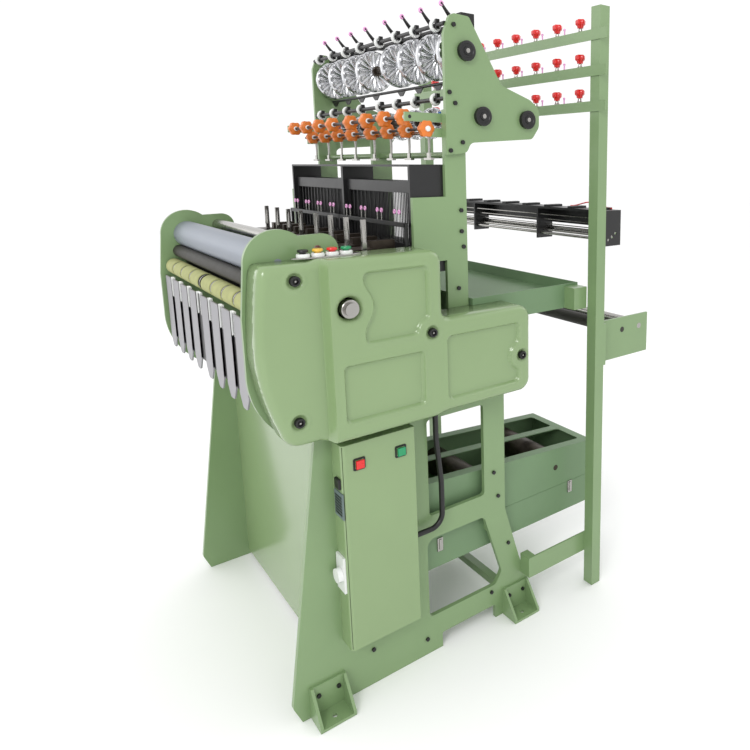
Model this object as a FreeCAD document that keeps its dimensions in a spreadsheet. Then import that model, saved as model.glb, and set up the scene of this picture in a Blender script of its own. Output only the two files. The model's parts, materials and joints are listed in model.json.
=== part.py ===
import FreeCAD, Part
import math
import os
import re

# Eight-head narrow-fabric needle loom. Millimetres. X runs to the operator's right, Y from the
# take-up side to the creel, Z up. The origin is on the floor, midway between the four anchor holes.

os.makedirs("parts", exist_ok=True)
doc = FreeCAD.newDocument("NeedleLoom")

size = {
    # side frames and feet
    "frameHalf": 460, "frameThick": 14, "frameTop": 1005, "frontY": -397, "rearY": 397,
    "legRear": 289, "legWide": 80, "leanRise": 770, "leanRun": 79, "railLow": 376, "railHigh": 450,
    "windowLow": 120, "windowFlare": 64, "windowFront": 10, "windowTop": 750, "notchFront": 43, "notchRear": 246,
    "notchHigh": 48, "anchorPitch": 650, "footWide": 100, "footOut": 70, "footHigh": 92,
    "footThick": 8, "anchorHole": 7,
    # end plates that carry the take-up rollers
    "endThick": 12, "rollerY": -370, "rollerZ": 1243, "rollerRadius": 42.5, "earRadius": 80, "plateFront": -462,
    "shelfZ": 1306, "shelfRear": -218, "runGap": 1.0, "journal": 10, "bearingFit": 0.05,
    "nipRadius": 20, "nipLean": 28, "nipGap": 0.3, "pressRadius": 19, "pressY": -272, "pressZ": 1268,
    "guideRadius": 25, "guideY": -422, "guideZ": 1140, "panelY": -262, "panelLow": 20,
    # weaving heads
    "heads": 8, "headPitch": 105, "headGap": 125, "tongueWide": 74, "tongueThick": 4,
    "tongueTop": 1112, "tongueLow": 876, "tongueY": -448,
    "headBase": 1190, "headHigh": 62, "headFront": -215, "headDeep": 190,
    # side cover and control box
    "coverOut": 100, "coverLow": 803, "coverHigh": 1254, "coverFront": -458, "coverStepY": -290,
    "coverMidY": 16, "coverRear": 318, "coverLedge": 1065, "coverInset": 30, "coverWall": 4,
    "boxOut": 62, "boxFront": -274, "boxRear": -64, "boxLow": 186, "boxHigh": 772,
    "buttonPitch": 36, "switchZ": 405, "conduitRadius": 8, "conduitY": 24, "conduitOut": 26,
    # overhead feeders
    "uprightY": 103, "uprightWide": 70, "uprightTop": 1622, "plateThick": 12,
    "shaftAY": 170, "shaftAZ": 1780, "shaftBY": 222, "shaftBZ": 1608, "shaftCY": 385, "shaftCZ": 1605,
    "shaftRadius": 9, "discRadius": 66, "discThick": 26, "overPitch": 110, "overGap": 136,
    "discGap": 176, "wheelRadius": 24, "wheelY": 5, "wheelZ": 1600,
    "ringTopZ": 1848, "ringLowZ": 1652, "leverZ": 1560, "leverDrop": 68, "fingerY": 190,
    "fingerGap": 14, "fingerRise": 58,
    # harness
    "harnessTop": 1440, "harnessLow": 1225, "healdY": 10, "healdPitch": 10, "healdThick": 7,
    "healdCount": 8, "harnessHalf": 424, "slideGap": 0.3,
    # creel, warp tray, stop device, rear rollers
    "postOut": 66, "postY": 626, "postWide": 40, "postHigh": 1950, "railBelow": 67, "railStep": 107,
    "railDrop": 32, "knobPitch": 110, "knobCount": 9, "trayTop": 1085, "trayDeep": 80,
    "trayFront": 180, "stopTop": 1326, "stopLow": 1210, "backRollerRadius": 22,
    "backRollerY": 770, "backRollerPitch": 88, "backRollerZ": 905,
    # floor box between frames, drive
    "tubLeft": 90, "tubRight": 425, "tubFront": -14, "tubRear": 715, "tubLow": 250, "tubHigh": 536,
    "tubRearHigh": 482, "tubWall": 3, "tubFlange": 34, "tubRollerRadius": 48, "tubRollerZ": 425,
    "tubRollerFront": 250, "tubRollerBack": 540, "tieSide": 26,
    "mainY": -245, "mainZ": 1131, "mainRadius": 17, "pulleyRadius": 70, "motorRadius": 78,
    "motorX": 200, "motorY": -156, "motorZ": 620,
}

sheet = doc.addObject("Spreadsheet::Sheet", "sheet")
for row, (alias, number) in enumerate(size.items(), 1):
    sheet.set(f"A{row}", alias)
    sheet.set(f"B{row}", str(number))
    sheet.setAlias(f"B{row}", alias)
doc.recompute()


class Named:
    """The same numbers as the sheet, read by name where a sketch is worked out in Python."""


v = Named()
for alias, number in size.items():
    setattr(v, alias, number)

# sizes that follow from the ones above, in the sheet and here
derived = {
    "postX": ("frameHalf + postOut", v.frameHalf + v.postOut),
    "railTop": ("postHigh - railBelow", v.postHigh - v.railBelow),
    "fingerZ": ("shaftAZ + discRadius + fingerGap", v.shaftAZ + v.discRadius + v.fingerGap),
}
for row, (alias, (formula, number)) in enumerate(derived.items(), len(size) + 1):
    sheet.set(f"A{row}", alias)
    sheet.set(f"B{row}", "=" + formula)
    sheet.setAlias(f"B{row}", alias)
    setattr(v, alias, number)
doc.recompute()

innerHalf = v.frameHalf - v.frameThick
nodes = []
rear_brackets = []
caps_and_bolts = []


def linked(text):
    """Turns bare size names in an expression into references to the sheet."""
    return re.sub(r"\b([A-Za-z]\w*)\b", r"sheet.\1", str(text))


def bind(item, **expressions):
    for field, text in expressions.items():
        item.setExpression(field.replace("_", "."), linked(text))


def place(item, x, y, z):
    bind(item, Placement_Base_x=x, Placement_Base_y=y, Placement_Base_z=z)


def node(item, label):
    item.Label = label
    nodes.append(item)
    return item


def block(x0, x1, y0, y1, z0, z1):
    """A box between six planes, each an expression."""
    item = doc.addObject("Part::Box", "Block")
    bind(item, Length=f"({x1}) - ({x0})", Width=f"({y1}) - ({y0})", Height=f"({z1}) - ({z0})")
    place(item, x0, y0, z0)
    return item


def rod(radius, x0, x1, y, z):
    """A cylinder along X."""
    item = doc.addObject("Part::Cylinder", "Rod")
    item.Placement.Rotation = FreeCAD.Rotation(FreeCAD.Vector(0, 1, 0), 90)
    bind(item, Radius=radius, Height=f"({x1}) - ({x0})")
    place(item, x0, y, z)
    return item


def stud(radius, x, y, z0, z1):
    """A cylinder along Z."""
    item = doc.addObject("Part::Cylinder", "Stud")
    bind(item, Radius=radius, Height=f"({z1}) - ({z0})")
    place(item, x, y, z0)
    return item


def pin(radius, x, y0, y1, z):
    """A cylinder along Y."""
    item = doc.addObject("Part::Cylinder", "Pin")
    item.Placement.Rotation = FreeCAD.Rotation(FreeCAD.Vector(1, 0, 0), -90)
    bind(item, Radius=radius, Height=f"({y1}) - ({y0})")
    place(item, x, y0, z)
    return item


def fused(items):
    joined = doc.addObject("Part::MultiFuse", "Joined")
    joined.Shapes = items
    joined.Refine = True
    return joined


def cut(base, tools):
    taken = doc.addObject("Part::Cut", "Taken")
    taken.Base = base
    taken.Tool = tools[0] if len(tools) == 1 else fused(tools)
    return taken


def group(items, label):
    """Several separate solids in one node."""
    whole = doc.addObject("Part::Compound", "Group")
    whole.Links = items
    return node(whole, label)


def loop(points):
    """Lines and corner arcs of a closed outline; a point is (u, v) or (u, v, corner radius)."""
    flat = [FreeCAD.Vector(p[0], p[1], 0) for p in points]
    count = len(points)
    starts, ends, arcs = [], [], []
    for i, point in enumerate(points):
        here, before, after = flat[i], flat[i - 1], flat[(i + 1) % count]
        radius = point[2] if len(point) > 2 else 0
        if not radius:
            starts.append(here)
            ends.append(here)
            arcs.append(None)
            continue
        to_before = (before - here).normalize()
        to_after = (after - here).normalize()
        half = to_before.getAngle(to_after) / 2
        reach = radius / math.tan(half)
        middle = here + (to_before + to_after).normalize() * (radius / math.sin(half) - radius)
        starts.append(here + to_before * reach)
        ends.append(here + to_after * reach)
        arcs.append(Part.Arc(starts[-1], middle, ends[-1]))
    edges = []
    for i in range(count):
        if arcs[i]:
            edges.append(arcs[i])
        if (starts[(i + 1) % count] - ends[i]).Length > 1e-6:
            edges.append(Part.LineSegment(ends[i], starts[(i + 1) % count]))
    return edges


def round_hole(u, w, radius):
    return [Part.Circle(FreeCAD.Vector(u, w, 0), FreeCAD.Vector(0, 0, 1), radius)]


def padded(plane, start, length, outlines):
    """A PartDesign body: a sketch on an origin plane, set off by start, padded along the normal."""
    body = doc.addObject("PartDesign::Body", "Body")
    origin = [f for f in body.Origin.OriginFeatures if f.Role == plane][0]
    sketch = body.newObject("Sketcher::SketchObject", "Sketch")
    sketch.AttachmentSupport = [(origin, "")]
    sketch.MapMode = "FlatFace"
    sketch.setExpression(".AttachmentOffset.Base.z", linked(start))
    for outline in outlines:
        for edge in outline:
            sketch.addGeometry(edge, False)
    pad = body.newObject("PartDesign::Pad", "Pad")
    pad.Profile = sketch
    bind(pad, Length=length)
    return body


def head_x(k):
    """X of weaving head k, as an expression: four heads on each side of a wider middle gap."""
    side = -1 if k < 4 else 1
    step = 3 - k if k < 4 else k - 4
    return f"{side} * (headGap / 2 + {step} * headPitch)"


def over_x(k, gap="overGap"):
    side = -1 if k < 4 else 1
    step = 3 - k if k < 4 else k - 4
    return f"{side} * ({gap} / 2 + {step} * overPitch)"


def side_outline():
    """Side frame in (Y, Z): leaning front edge, notched foot line, slim rear leg."""
    lean = v.frontY + v.leanRun
    return loop([
        (v.frontY, 0), (v.notchFront, 0), (v.notchFront, v.notchHigh, 6),
        (v.notchRear, v.notchHigh, 6), (v.notchRear, 0), (v.rearY, 0), (v.rearY, 46, 14),
        (v.legRear + 55, 186, 60), (v.legRear, v.railLow, 60), (v.legRear, v.frameTop),
        (lean, v.frameTop), (lean, v.leanRise, 60), (v.frontY - 22, 52, 18)])


def side_windows():
    rear = v.legRear - v.legWide
    upper = loop([(v.windowFront, v.railHigh, 12), (rear, v.railHigh, 12),
                  (rear, v.windowTop, 12), (v.windowFront, v.windowTop, 12)])
    lower = loop([(v.windowFront - 10, v.windowLow, 14),
                  (rear + 0.6 * v.windowFlare, v.windowLow, 20),
                  (rear + v.windowFlare, v.windowLow + 40, 20),
                  (rear - 3, v.railLow, 22), (v.windowFront - 10, v.railLow, 26)])
    return [upper, lower]


def end_outline():
    """End plate in (Y, Z): round ear at the roller, flat shelf, apron that curves back below."""
    cy, cz, r = v.rollerY, v.rollerZ, v.earRadius
    a0, a1 = math.radians(180), math.radians(50)
    def on(angle):
        return FreeCAD.Vector(cy + r * math.cos(angle), cz + r * math.sin(angle), 0)
    ear = Part.Arc(on(a0), on((a0 + a1) / 2), on(a1))
    rear = v.shelfRear
    path = [on(a1), FreeCAD.Vector(rear - 40, v.shelfZ, 0)]
    round_end = Part.Arc(path[1], FreeCAD.Vector(rear - 12, v.shelfZ - 12, 0),
                         FreeCAD.Vector(rear, v.shelfZ - 40, 0))
    low = [FreeCAD.Vector(rear, v.shelfZ - 40, 0), FreeCAD.Vector(rear, v.coverLow, 0),
           FreeCAD.Vector(v.frontY + 20, v.coverLow, 0)]
    brow, jaw = (FreeCAD.Vector(v.plateFront, z, 0) for z in (v.guideZ - 24, v.coverLow + 182))
    chin = Part.Arc(low[2], FreeCAD.Vector(v.plateFront + 24, v.coverLow + 72, 0), jaw)
    return [ear, Part.LineSegment(path[0], path[1]), round_end,
            Part.LineSegment(low[0], low[1]), Part.LineSegment(low[1], low[2]), chin,
            Part.LineSegment(jaw, brow), Part.LineSegment(brow, on(a0))]


def nip_at():
    """The nip roller's axis, against the take-up roller on a line that leans forward."""
    reach, lean = v.rollerRadius + v.nipRadius + v.nipGap, math.radians(v.nipLean)
    return v.rollerY - reach * math.sin(lean), v.rollerZ - reach * math.cos(lean)


def side_frames():
    for label, start in (("side_frame_left", "-frameHalf"),
                         ("side_frame_right", "frameHalf - frameThick")):
        body = padded("YZ_Plane", start, "frameThick", [side_outline()] + side_windows())
        node(body, label)


def feet():
    brackets = []
    for side in (-1, 1):
        inner = v.frameHalf * side
        outer = (v.frameHalf + v.footOut) * side
        lo, hi = min(inner, outer), max(inner, outer)
        for end in (-1, 1):
            y = end * v.anchorPitch / 2
            y0, y1 = y - v.footWide / 2, y + v.footWide / 2
            base = block(lo, hi, y0, y1, 0, "footThick")
            hole = stud("anchorHole", side * (v.frameHalf + 42), y, -1, "footThick + 1")
            wall_lo = inner if side > 0 else inner - v.footThick
            wall = block(wall_lo, wall_lo + v.footThick, y0, y1, 0, "footHigh")
            ribs = []
            for rib_y in (y0, y1 - v.footThick):
                web = padded("XZ_Plane", f"-({rib_y} + footThick)", "footThick", [loop([
                    (inner, 0), (outer, 0), (outer, 14), (inner + side * 12, v.footHigh),
                    (inner, v.footHigh)])])
                ribs.append(web)
            brackets.append(cut(fused([base, wall] + ribs), [hole]))
    group(brackets, "foot_brackets")


def frame_parts():
    sheet = 4
    inside = "frameHalf - frameThick"
    strips = []
    for low, high, half in ((v.panelLow, v.coverLow - 3, inside),
                            (v.coverLow - 3, v.tongueLow + 40, f"{inside} - endThick")):
        strips.append(block(f"-({half})", half, "panelY", f"panelY + {sheet}", low, high))
    node(fused(strips), "front_panel")
    span = ("-frameHalf + frameThick", "frameHalf - frameThick")
    group([block(*span, "legRear + 7", "legRear + 7 + tieSide", 48, "48 + tieSide"),
           block(*span, "legRear - 60", "legRear - 20", "frameTop - 60", "frameTop"),
           block(*span, "shelfRear + 4", "shelfRear + 84", "frameTop - 50", "frameTop"),
           block(*span, "windowFront - 70", "windowFront - 30", "railLow + 4", "railHigh - 4"),
           block(*span, "motorY - 90", "motorY + 90", "motorZ - 108", "motorZ - 100")],
          "cross_ties")
    table = block(*span, "headFront", "uprightY - 70", "frameTop", "frameTop + 12")
    pedestals = [block(x0, x1, "headFront + 20", "headFront + headDeep - 10", "frameTop + 12",
                       "headBase - 10")
                 for x0, x1 in (("-430", "-380"), ("-25", "25"), ("380", "430"))]
    beam = block("-430", "430", "headFront", "headFront + headDeep", "headBase - 10", "headBase")
    node(fused([table, beam] + pedestals), "head_table")


def end_plates():
    bores = [(v.rollerY, v.rollerZ), nip_at(), (v.pressY, v.pressZ), (v.guideY, v.guideZ)]
    fit = v.journal + v.bearingFit
    holes = [round_hole(y, z, fit) for y, z in bores]
    holes.append(round_hole(v.mainY, v.mainZ, v.mainRadius + v.bearingFit))
    for label, start in (("end_plate_left", "-frameHalf + frameThick"),
                         ("end_plate_right", "frameHalf - frameThick - endThick")):
        node(padded("YZ_Plane", start, "endThick", [end_outline()] + holes), label)


def roller(radius, y, z, label, extra=()):
    """A roller between the end plates with a journal in each."""
    reach = "frameHalf - frameThick - endThick"
    barrel = rod(radius, f"-({reach} - runGap)", f"{reach} - runGap", y, z)
    ends = rod("journal", f"-({reach} + endThick)", f"{reach} + endThick", y, z)
    return node(fused([barrel, ends] + list(extra)), label)


def take_up():
    roller("rollerRadius", "rollerY", "rollerZ", "take_up_roller")
    roller("pressRadius", "pressY", "pressZ", "breast_roller")
    nip_y, nip_z = nip_at()
    roller("nipRadius", nip_y, nip_z, "nip_roller")
    sleeves = [rod("guideRadius", f"{head_x(k)} - 0.46 * headPitch", f"{head_x(k)} + 0.46 * headPitch",
                   "guideY", "guideZ") for k in range(v.heads)]
    shaft = rod("journal", "-(frameHalf - frameThick)", "frameHalf - frameThick", "guideY", "guideZ")
    node(fused([shaft] + sleeves), "guide_roller")
    half = v.tongueWide / 2
    low, high = v.tongueLow, v.tongueTop
    tongues = []
    for k in range(v.heads):
        side = -1 if k < 4 else 1
        step = 3 - k if k < 4 else k - 4
        x = side * (v.headGap / 2 + step * v.headPitch)
        tongues.append(padded("XZ_Plane", "-tongueY", "tongueThick", [loop([
            (x - half, high), (x - half, low + 34, 24), (x - 0.4 * half, low, 12),
            (x + 0.4 * half, low, 12), (x + half, low + 34, 24), (x + half, high)])]))
    group(tongues, "take_off_tongues")
    reach = "frameHalf - frameThick - endThick"
    back = block(f"-({reach})", reach, "tongueY", "tongueY + 3", "tongueLow + 36", "guideZ - 30")
    sheet_low, sheet_high = (v.guideY + 34, v.guideZ - 40), (nip_y + 22, nip_z - 8)
    deflector = padded("YZ_Plane", f"-({reach})", f"2 * ({reach})", [loop([
        sheet_low, (sheet_low[0] + 2.5, sheet_low[1]), (sheet_high[0] + 2.5, sheet_high[1]),
        sheet_high])])
    group([back, deflector], "chute_sheets")


def weaving_heads():
    bases = []
    for k in range(v.heads):
        x = head_x(k)
        body = block(f"{x} - 40", f"{x} + 40", "headFront", "headFront + headDeep", "headBase",
                     "headBase + 34")
        bridge = block(f"{x} - 34", f"{x} + 34", "headFront + 20", "headFront + 110", "headBase + 34",
                       "headBase + headHigh")
        guide = block(f"{x} - 10", f"{x} + 10", "headFront + 110", "headFront + headDeep - 4",
                      "headBase + 34", "headBase + 80")
        bore = rod("6 + bearingFit", f"{x} - 50", f"{x} + 50", "headFront + 80", "headBase + 50")
        bases.append(cut(fused([body, bridge, guide]), [bore]))
    group(bases, "weaving_heads")
    pivot = rod("6", "-430", "430", "headFront + 80", "headBase + 50")
    arms = [block(f"{head_x(k)} + 36", f"{head_x(k)} + 44", "headFront + 74", "headFront + 86",
                  "headBase + 50", "headBase + 142") for k in range(v.heads)]
    node(fused([pivot] + arms), "needle_levers")
    posts = [block(x0, x1, "headFront + 196", "headFront + 206", "headBase - 10", "headBase + 136")
             for x0, x1 in (("-430", "-418"), ("418", "430"))]
    rail = block("-430", "430", "headFront + 196", "headFront + 206", "headBase + 124",
                 "headBase + 136")
    foot = block("-430", "430", "headFront + 190.5", "headFront + 206", "headBase - 16",
                 "headBase - 10")
    eyes = [stud("2", f"{head_x(k)} + {dx}", "headFront + 201", "headBase + 130", "headBase + 162")
            for k in range(v.heads) for dx in (-7, 7)]
    node(fused([rail, foot] + posts + eyes), "eyelet_rail")


def harness():
    top, low = "harnessTop", "harnessLow"
    rear = "uprightY"
    walls = [block(x0, x1, "healdY - 12", rear, f"{low} - 44", f"{top} + 28")
             for x0, x1 in (("-harnessHalf - 10", "-harnessHalf"), (-7, 7),
                            ("harnessHalf", "harnessHalf + 10"))]
    beams = [block("-harnessHalf - 10", "harnessHalf + 10", "healdY - 12", rear, z0, z1)
             for z0, z1 in ((f"{low} - 52", f"{low} - 44"), (f"{top} + 28", f"{top} + 34"))]
    node(fused(walls + beams), "harness_guides")
    for label, first in (("heald_frames_odd", 0), ("heald_frames_even", 1)):
        frames = []
        for k in range(first, v.healdCount, 2):
            y0, y1 = f"healdY + {k} * healdPitch", f"healdY + {k} * healdPitch + healdThick"
            outer = v.harnessHalf - v.slideGap
            for x0, x1 in ((-outer, -7 - v.slideGap), (7 + v.slideGap, outer)):
                plate = block(x0, x1, y0, y1, low, f"{top} - 12")
                opening = block(x0 + 14, x1 - 14, f"{y0} - 1", f"{y1} + 1", f"{low} + 28",
                                f"{top} - 44")
                wires = [block(x0 + 14 + 28 * w, x0 + 16 + 28 * w, f"{y0} + 2.5", f"{y1} - 2.5",
                               f"{low} + 20", f"{top} - 36") for w in range(1, 14)]
                frames.append(fused([cut(plate, [opening])] + wires))
        group(frames, label)


def uprights():
    z0 = v.frameTop
    rear = v.uprightY + v.uprightWide
    bars = [padded("YZ_Plane", x0, "plateThick", [loop([
        (v.uprightY, z0), (rear, z0), (rear, v.uprightTop), (v.uprightY, v.uprightTop)])])
        for x0 in ("-frameHalf + frameThick", "-plateThick / 2", "frameHalf - frameThick - plateThick")]
    sleepers = [block("-frameHalf + frameThick + plateThick", "-plateThick / 2", "uprightY + 5",
                      "uprightY + 60", "frameTop - 6", "frameTop + 6"),
                block("plateThick / 2", "frameHalf - frameThick - plateThick", "uprightY + 5",
                      "uprightY + 60", "frameTop - 6", "frameTop + 6"),
                rod(9, "-frameHalf + frameThick + plateThick", "-plateThick / 2", "uprightY + 35",
                    1500),
                rod(9, "plateThick / 2", "frameHalf - frameThick - plateThick", "uprightY + 35",
                    1500)]
    cheeks = [block(x0, x1, "healdY - 12", "uprightY", "harnessLow - 20", "harnessTop - 55")
              for x0, x1 in (("-frameHalf + frameThick", "-harnessHalf - 10"),
                             ("harnessHalf + 10", "frameHalf - frameThick"))]
    group(bars + sleepers + cheeks, "uprights")
    outline = loop([
        (v.uprightY, 1500), (v.shaftAY, 1506, 20), (v.shaftAY + 14, 1534, 20), (409, 1549, 20),
        (436, 1585, 30), (436, 1640, 30), (400, 1664, 30), (v.shaftAY + 124, 1698, 20),
        (v.shaftAY + 60, 1800, 40), (v.shaftAY + 14, 1872, 12), (v.uprightY + 22, 1875, 22),
        (v.uprightY, 1820, 20)])
    fit = v.shaftRadius + v.bearingFit
    bores = [round_hole(y, z, fit) for y, z in ((v.shaftAY, v.shaftAZ), (v.shaftBY, v.shaftBZ),
                                                (v.shaftCY, v.shaftCZ))]
    plates = [padded("YZ_Plane", x0, "plateThick", [outline] + bores)
              for x0 in ("-frameHalf + frameThick - plateThick", "frameHalf - frameThick")]
    group(plates, "head_plates")


def overhead():
    wall = "frameHalf - frameThick"
    upright_in = innerHalf - v.plateThick
    rails = []
    for y, z in ((v.uprightY + 10, v.ringTopZ), (v.uprightY + 5, v.ringLowZ)):
        rails.append(rod(6, f"-({wall})", wall, y, z))
        for k in range(v.heads):
            rails.append(rod(13, f"{over_x(k)} - 5", f"{over_x(k)} + 5", y, z))
    group([fused(rails[:9]), fused(rails[9:])], "ring_rails")
    finger_shaft = rod(7, f"-({wall})", wall, "fingerY", "fingerZ")
    fingers = [finger_shaft]
    for k in range(v.heads):
        across = (f"{over_x(k)} - 3", f"{over_x(k)} + 3", "fingerY - 56")
        fingers.append(block(*across, "fingerY + 6", "fingerZ - 6", "fingerZ + 6"))
        fingers.append(block(*across, "fingerY - 46", "fingerZ - 6", "fingerZ + fingerRise"))
    node(fused(fingers), "finger_bar")
    for label, y, z, gap, span in (("feeder_shaft_upper", "shaftAY", "shaftAZ", "discGap", 0),
                                   ("feeder_shaft_middle", "shaftBY", "shaftBZ", "discGap", 0),
                                   ("feeder_shaft_rear", "shaftCY", "shaftCZ", "discGap", 0)):
        shaft = rod("shaftRadius", "-(frameHalf + 2)", "frameHalf + 2", y, z)
        radius = "discRadius" if label == "feeder_shaft_upper" else "discRadius * 0.62"
        discs = [rod(radius, f"{over_x(k, gap)} - discThick / 2", f"{over_x(k, gap)} + discThick / 2",
                     y, z) for k in range(v.heads)]
        node(fused([shaft] + discs), label)
    wheel_shaft = rod(5, -upright_in, upright_in, "wheelY", "wheelZ")
    wheels = [rod("wheelRadius", f"{over_x(k)} - 9", f"{over_x(k)} + 9", "wheelY", "wheelZ")
              for k in range(v.heads)]
    node(fused([wheel_shaft] + wheels), "pressure_wheels")
    arms = []
    for side in (-1, 1):
        x0, x1 = sorted((side * upright_in, side * (upright_in - 8)))
        arm = block(x0, x1, "wheelY - 14", "uprightY + 60", "wheelZ - 12", "wheelZ + 12")
        bore = rod("5 + bearingFit", x0 - 1, x1 + 1, "wheelY", "wheelZ")
        arms.append(cut(arm, [bore]))
    lever_y, lever_z = "uprightY - 30", "leverZ"
    levers = [rod(5, -upright_in, upright_in, lever_y, lever_z)]
    for k in range(v.heads):
        x = over_x(k)
        levers.append(block(f"{x} + 12", f"{x} + 18", f"{lever_y} - 6", f"{lever_y} + 6",
                            "leverZ - leverDrop", lever_z))
        levers.append(block(f"{x} + 4", f"{x} + 26", f"{lever_y} - 8", f"{lever_y} + 8",
                            "leverZ - leverDrop - 6", "leverZ - leverDrop + 2"))
    node(fused(levers), "feeder_levers")
    hangers = []
    for side in (-1, 1):
        x0, x1 = sorted((side * upright_in, side * (upright_in - 8)))
        plate = block(x0, x1, f"{lever_y} - 12", "uprightY + 8", f"{lever_z} - 12",
                      f"{lever_z} + 12")
        hangers.append(cut(plate, [rod("5 + bearingFit", x0 - 1, x1 + 1, lever_y, lever_z)]))
    group(arms + hangers, "overhead_brackets")
    hubs = []
    for y, z in ((v.shaftAY, v.shaftAZ), (v.shaftBY, v.shaftBZ), (v.shaftCY, v.shaftCZ)):
        for side in (-1, 1):
            face = side * (innerHalf + v.plateThick)
            cup = rod(26, *sorted((face, face + side * 9)), y, z)
            recess = rod("shaftRadius + bearingFit", *sorted((face - side, face + side * 5)), y, z)
            hubs.append(cut(cup, [recess]))
    caps_and_bolts.extend(hubs)


def cover():
    """Moulded cover: one solid shell, open towards the frame."""
    low, high, ledge = v.coverLow, v.coverHigh, v.coverLedge
    mid, rear, step, wall = v.coverMidY, v.coverRear, v.coverStepY, v.coverWall

    def swept(points, depth):
        wire = Part.Wire([e.toShape() for e in loop(points)])
        return Part.Face(wire).extrude(FreeCAD.Vector(0, 0, depth))

    def form(main_deep, nose_deep, grow):
        main = swept([(step + grow, low + grow, 24), (rear - grow, low + grow, 40),
                      (rear - grow, ledge - grow, 34), (mid - grow, ledge - grow, 4),
                      (mid - grow, high - grow, 34), (step + grow, high - grow, 6)], main_deep)
        nose = swept([(step + 30, low + grow), (v.frontY + 20, low + grow, 60),
                      (v.coverFront + grow, 950, 200), (v.coverFront + grow, high - grow - 8, 40),
                      (step + 30, high - grow - 8)], nose_deep)
        return main.fuse(nose).removeSplitter()

    conduit_hole = Part.makeCylinder(v.conduitRadius + 0.5, 30, FreeCAD.Vector(
        v.conduitY, low - 10, v.conduitOut), FreeCAD.Vector(0, 1, 0))
    outer = form(v.coverOut, v.coverOut - v.coverInset, 0)
    inner = form(v.coverOut - wall, v.coverOut - v.coverInset - wall, wall)
    shaft_hole = Part.makeCylinder(v.mainRadius + 8, 40, FreeCAD.Vector(v.mainY, v.mainZ, v.coverOut - 20),
                                   FreeCAD.Vector(0, 0, 1))
    item = doc.addObject("Part::Feature", "Cover")
    item.Shape = outer.cut(inner).cut(shaft_hole).cut(conduit_hole)
    item.Placement = FreeCAD.Placement(FreeCAD.Vector(v.frameHalf, 0, 0), FreeCAD.Rotation(
        FreeCAD.Vector(0, 1, 0), FreeCAD.Vector(0, 0, 1), FreeCAD.Vector(1, 0, 0), "ZXY"))
    node(item, "side_cover")
    face, nose_face = "frameHalf + coverOut", "frameHalf + coverOut - coverInset"
    knobs = [rod(9, nose_face, f"{nose_face} + 9", -363, 1209), rod(9, nose_face, f"{nose_face} + 9",
             -374, 866), rod(9, face, f"{face} + 9", -19, 1035), rod(9, face, f"{face} + 9", 284, 916)]
    group(knobs, "cover_knobs")


def controls():
    top = "coverHigh"
    ys = [v.coverStepY - 34 + k * v.buttonPitch for k in range(4)]
    plate = block("frameHalf + 6", "frameHalf + 46", ys[0] - 30, ys[3] + 40, top, f"{top} + 2")
    centre = "frameHalf + 26"
    holes = [stud("8 + 2 * bearingFit", centre, y, f"{top} - 1", f"{top} + 3") for y in ys]
    collars = [cut(stud(15, centre, y, f"{top} + 2", f"{top} + 11"),
                   [stud("8 + 2 * bearingFit", centre, y, f"{top} + 1", f"{top} + 12")]) for y in ys]
    group([cut(plate, holes)] + collars, "button_plate")
    for label, y in zip(("button_black", "button_yellow", "button_red", "button_green"), ys):
        node(fused([stud(8, centre, y, f"{top} + 4", f"{top} + 16"),
                    stud(13, centre, y, f"{top} + 16", f"{top} + 22")]), label)
    box_face = "frameHalf + boxOut"
    case = padded("XY_Plane", "boxLow", "boxHigh - boxLow", [loop([
        (v.frameHalf, v.boxFront), (v.frameHalf + v.boxOut, v.boxFront, 12),
        (v.frameHalf + v.boxOut, v.boxRear, 2), (v.frameHalf, v.boxRear)])])
    hollow = block("frameHalf + 3", "frameHalf + boxOut - 3", "boxFront + 3", "boxRear - 3",
                   "boxLow + 3", "boxHigh - 3")
    bores = [rod("7 + 2 * bearingFit", f"{box_face} - 6", f"{box_face} + 1", y, 714) for y in (-227, -108)]
    knob_z = "switchZ"
    bore = pin("6 + bearingFit", "frameHalf + 30", "boxFront - 1", "boxFront + 6", knob_z)
    node(cut(case, [hollow] + bores + [bore]), "control_box")
    for label, y in (("stop_button", -227), ("start_button", -108)):
        node(fused([rod(7, f"{box_face} - 10", f"{box_face} + 4", y, 714),
                    block(f"{box_face} + 4", f"{box_face} + 9", y - 11, y + 11, 703, 725)]), label)
    switch = block("frameHalf + 3", "frameHalf + boxOut - 12", "boxFront - 6", "boxFront",
                   "switchZ - 50", "switchZ + 52")
    node(cut(switch, [pin("6 + bearingFit", "frameHalf + 30", "boxFront - 7", "boxFront + 1",
                          knob_z)]), "switch_plate")
    node(fused([pin(6, "frameHalf + 30", "boxFront - 8", "boxFront + 6", knob_z),
                pin(19, "frameHalf + 30", "boxFront - 20", "boxFront - 6.4", knob_z)]), "switch_knob")


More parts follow.
